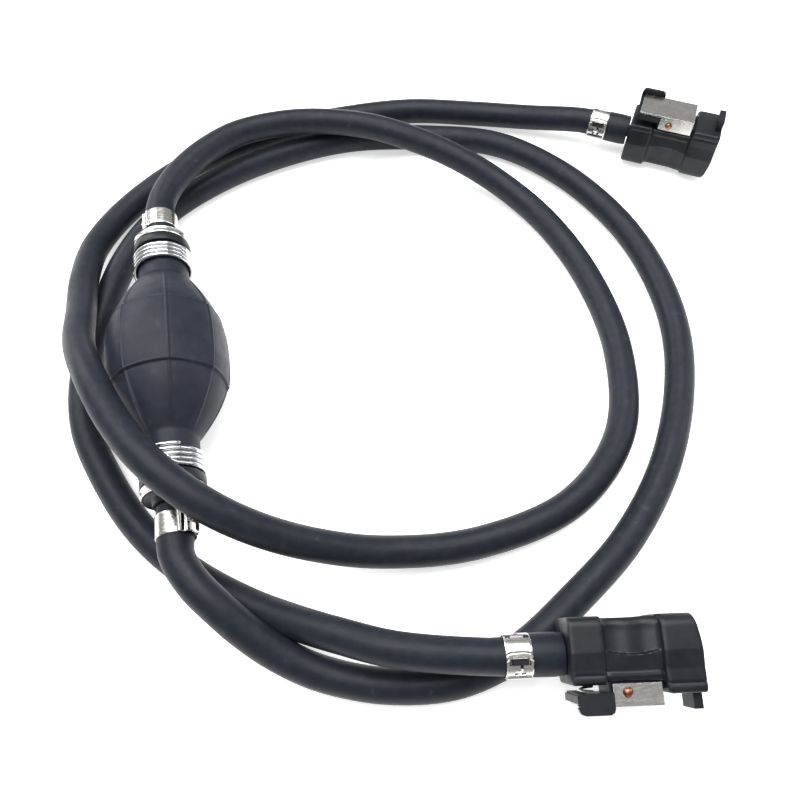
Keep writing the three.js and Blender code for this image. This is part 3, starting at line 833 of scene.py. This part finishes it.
# Heights along the side walls: the foot of the scooped grip and the middle of the rail.
RIDGE_Z = 0.4
RAIL_Z = 7.6
# Radius of the corners beside the latch, and how far the front rim leans back.
LATCH_CORNER = 1.3
FRONT_LEAN = 1.9


def wall_inset(x, z, high):
    """How far a side wall lies inside its section's half width, millimetres."""
    along = smoothstep(12.5, 13.6, x) * (1 - smoothstep(30.6, 31.8, x))
    edge = RIDGE_Z - 0.6 + 1.3 * math.sin(math.pi * (x - 12.5) / 19.5) * along
    below = 1 - smoothstep(edge - 0.7, edge, z)
    wave = 0.5 + 0.5 * math.cos(2 * math.pi * (x - 16.2) / 10.2)
    scoop = along * below * (0.75 + 0.65 * wave)
    back_taper = 0.3 * min(max(-z / 8, 0), 1)
    facet = 0.85 * min(max((z - edge) / 6, 0), 1)
    rail = 0.75 * along * bell(z - RAIL_Z, 0.75)
    groove = 0.35 * bell(z - high + 3.2, 0.35) * (1 - along) * (x > 1.5)
    return scoop + back_taper + facet - rail + groove


def side_outline(x, half, low, high, corner):
    """Half of a section from the middle of the back round one side to the latch face."""
    points = [(0.0, low), (half * 0.4, low)]
    for k in range(9):
        angle = -math.pi / 2 + k * math.pi / 16
        across = half - corner + corner * math.cos(angle)
        z = low + corner + corner * math.sin(angle)
        points.append((across - wall_inset(x, z, high) * k / 8, z))
    # Heights up the wall, close together across the edge of the scooped grip.
    wall = low + corner
    grip_low = -1.6
    grip_high = 1.9
    top = high - LATCH_CORNER
    heights = [wall + share * (grip_low - wall) for share in (0.25, 0.5, 0.75)]
    heights += [grip_low + 0.35 * k for k in range(10)]
    heights += [grip_high + (top - grip_high) * k / 16 for k in range(17)]
    points += [(half - wall_inset(x, z, high), z) for z in heights]
    centre = points[-1][0] - LATCH_CORNER
    for k in range(1, 5):
        angle = k * math.pi / 8
        z = top + LATCH_CORNER * math.sin(angle)
        points.append((centre + LATCH_CORNER * math.cos(angle), z))
    return points + [(half * 0.3, high), (0.0, high)]


def front_bow(x, z):
    """The front rim leans back towards the side away from the latch."""
    lean = max(0.0, 2 - z) / 14.4
    return -FRONT_LEAN * lean**2 * smoothstep(33, 46, x)


def housing_shell():
    """The outer form: sections every 0.8 mm or so between the stations."""
    rings = []
    sections = []
    for a, b in zip(HOUSING_STATIONS, HOUSING_STATIONS[1:]):
        parts = max(1, round((b[0] - a[0]) / 0.8))
        sections += [[p + (q - p) * k / parts for p, q in zip(a, b)] for k in range(parts)]
    sections.append(HOUSING_STATIONS[-1])
    for x, half, low, high, corner in sections:
        right = side_outline(x, half, low, high, corner)
        outline = right + [(-across, z) for across, z in reversed(right[1:-1])]
        rings.append([Vector((x + front_bow(x, z), across, z)) * MM for across, z in outline])
    return skin(rings)


def rounded_bar(x0, x1, half, low, high, corner):
    """A bar along X with rounded long edges, in millimetres, as points and faces in metres."""
    rings = []
    for x in (x0, x1):
        ring = []
        for cx, cz, turn in ((1, -1, -90), (1, 1, 0), (-1, 1, 90), (-1, -1, 180)):
            for k in range(7):
                angle = math.radians(turn + 15 * k)
                across = cx * (half - corner) + corner * math.cos(angle)
                centre = (high - corner) if cz > 0 else (low + corner)
                ring.append(Vector((x, across, centre + corner * math.sin(angle))) * MM)
        rings.append(ring)
    return skin(rings)


def connector_housing(end, matrix):
    """The moulded body, bored for the barb, the fuel prong, the guide pin and the latch's parts."""
    piece = build(f"{end}_connector_shell", *housing_shell(), sharp_deg=32)
    pivot_block = block(13.2, 25.0, -7.3, 7.3, 8.0, 15.4)
    bed_ahead_of_it = block(24.8, 33.2, -7.3, 7.3, 8.0, 12.6)
    front_lip = block(42.4, 45.6, -5.6, 5.6, 12.0, 19.6)
    for shape in (pivot_block, bed_ahead_of_it, front_lip):
        apply_boolean(piece, shape, "UNION")
    mouth = rounded_bar(36, 48, 9.75, -9.4, 11, 5)
    barb_seat = rod((4, 0, 0), (1, 0, 0), 5.2, 8.8, 40)
    fuel_bore = rod((22, 0, 0), (1, 0, 0), 3.9, 36, 40)
    guide_hole = rod((31, 0, 7.2), (1, 0, 0), 1.9, 14, 24)
    pivot_hole = rod((19, 0, 13), (0, 1, 0), 1.8, 15.5, 24)
    spring_pocket = rod((7, 0, 10), (0, 0, 1), 3.2, 5, 32)
    for shape in (mouth, barb_seat, fuel_bore, guide_hole, pivot_hole, spring_pocket):
        apply_boolean(piece, shape, "DIFFERENCE")
    soften(piece, 0.22)
    piece.data.transform(matrix)
    return finish_piece(piece, "black_nylon", ROOT, f"{end}_connector_housing")


def latch_plate(end, matrix):
    """One strip of stainless sheet: a flat top, two cheeks that hold the pin, a folded front."""
    piece = build(f"{end}_latch_sheet", *block(3, 31, -PLATE_HALF, PLATE_HALF, 16.65, 17.6))
    right_cheek = block(14, 31, PLATE_HALF - SHEET, PLATE_HALF, 10.2, 17.2)
    left_cheek = block(14, 31, -PLATE_HALF, SHEET - PLATE_HALF, 10.2, 17.2)
    folded_front = block(31 - SHEET, 31, -PLATE_HALF, PLATE_HALF, 12.8, 17.2)
    for shape in (right_cheek, left_cheek, folded_front):
        apply_boolean(piece, shape, "UNION")
    apply_boolean(piece, rod((19, 0, 13), (0, 1, 0), 1.7, 22, 24), "DIFFERENCE")
    soften(piece, 0.35, 3)
    piece.data.transform(matrix)
    return finish_piece(piece, "stainless", f"{end}_latch", f"{end}_latch_plate")


def thumb_tab_outline():
    """Side view of the tab: toothed rear edge, round outer corners."""
    points = [
        (13.6, 12.9), (13.6, 17.9), (13.1, 19.2), (11.8, 19.9), (3.4, 19.9), (2.0, 19.4), (1.5, 18.6),
    ]
    for k in range(5):
        top = 17.6 - k * 0.95
        points += [(1.15, top), (1.15, top - 0.35), (1.6, top - 0.55), (1.6, top - 0.85)]
    return points + [(1.3, 12.9)]


def thumb_pad(end, matrix):
    """The moulded pad with its side tab and the four ribs on its underside."""
    piece = build(f"{end}_latch_pad", *block(1.3, 13.6, -9.7, 10.6, 13.6, 16.2))
    outline = thumb_tab_outline()
    tab = skin([[Vector((x, across, z)) * MM for x, z in outline] for across in (9.9, 11.9)])
    apply_boolean(piece, tab, "UNION")
    for k in range(4):
        rib = block(1.9 + 0.95 * k, 2.35 + 0.95 * k, -9.2, 9.2, 12.95, 13.9)
        apply_boolean(piece, rib, "UNION")
    soften(piece, 0.28)
    piece.data.transform(matrix)
    return finish_piece(piece, "black_nylon", f"{end}_latch", f"{end}_latch_thumb_pad")


def latch_rivet(end, matrix):
    """The pivot: a round pin across the connector with a domed head on each cheek."""
    section = [(-10.8, 0.4), (-10.7, 0.9), (-10.45, 1.3), (-10.1, 1.55), (-9.7, 1.6), (-9.65, 1.45)]
    section += [(-station, radius) for station, radius in reversed(section)]
    place = matrix @ Matrix.Translation((PIN_X, 0, PIN_Z))
    piece = turned(f"{end}_latch_rivet", section, 40, place)
    return finish_piece(piece, "copper_pin", ROOT, f"{end}_latch_pin")


# ---------------------------------------------------------------------- floor
def floor():
    """A pale square just under the object, bright enough to read as a white studio sweep."""
    steps = FLOOR_SQUARES
    level = CAD_BOX[0][2] - 0.05 * MM
    places = [FLOOR_HALF_SIZE * (2 * i / steps - 1) for i in range(steps + 1)]
    points = [(x, y, level) for x in places for y in places]
    faces = []
    for i in range(steps):
        for j in range(steps):
            a = i * (steps + 1) + j
            faces.append((a, a + steps + 1, a + steps + 2, a + 1))
    piece = build("floor", points, faces)
    finish = Finish("floor")
    finish.colour((0.88, 0.88, 0.88), (0.91, 0.91, 0.91), finish.noise(3, 2))
    finish.roughness(0.7, 0.8, finish.noise(40, 2))
    finish.shader.inputs["Emission Color"].default_value = (1, 1, 1, 1)
    finish.shader.inputs["Emission Strength"].default_value = 0.55
    piece.data.materials.append(finish.material)


# ------------------------------------------------------------------- assembly
def dress_cad_nodes():
    """Gives each CAD node the material of its slot; some of them stay in view."""
    slots = {part["node"]: part["material_slot"] for part in frame["record"]["subparts"]}
    for name, node in NODES.items():
        node.data.materials.clear()
        node.data.materials.append(MATERIALS[slots[name]])


def run_of_hose(end):
    """One hose with its two bands and the connector that it carries."""
    piece, points, length = hose(end)
    matrix = connector_matrix(end)
    fine, distances = evenly(hose_line(end), FINE_STEP)
    along = tangents(fine)
    bands = []
    for place, distance, ear in (
        ("bulb", BAND_FROM_BULB_END * MM, BULB_EARS[end]),
        ("connector", length - BAND_FROM_CONNECTOR_END * MM, CONNECTOR_EARS[end]),
    ):
        here = band_matrix(fine, along, distances, distance, ear)
        radius = hose_radius(distance, length)
        bands.append(band_clamp(f"{end}_{place}_strap", f"{end}_{place}_band", here, radius))
    pieces = bands + [
        connector_housing(end, matrix),
        latch_plate(end, matrix),
        thumb_pad(end, matrix),
        latch_rivet(end, matrix),
    ]
    inside = ("connector_barb", "connector_seal", "connector_ball", "connector_spring", "latch_spring")
    pieces += [NODES[f"{end}_{name}"] for name in inside]


add_camera()
add_light()
MATERIALS = make_materials()
dress_cad_nodes()
for end in ENDS:
    run_of_hose(end)
squeeze_bulb()
for end, side in (("inlet", -1), ("outlet", 1)):
    wire_clamp(end)
    valve_body(end, side)
    trim_ring(end, side)
floor()
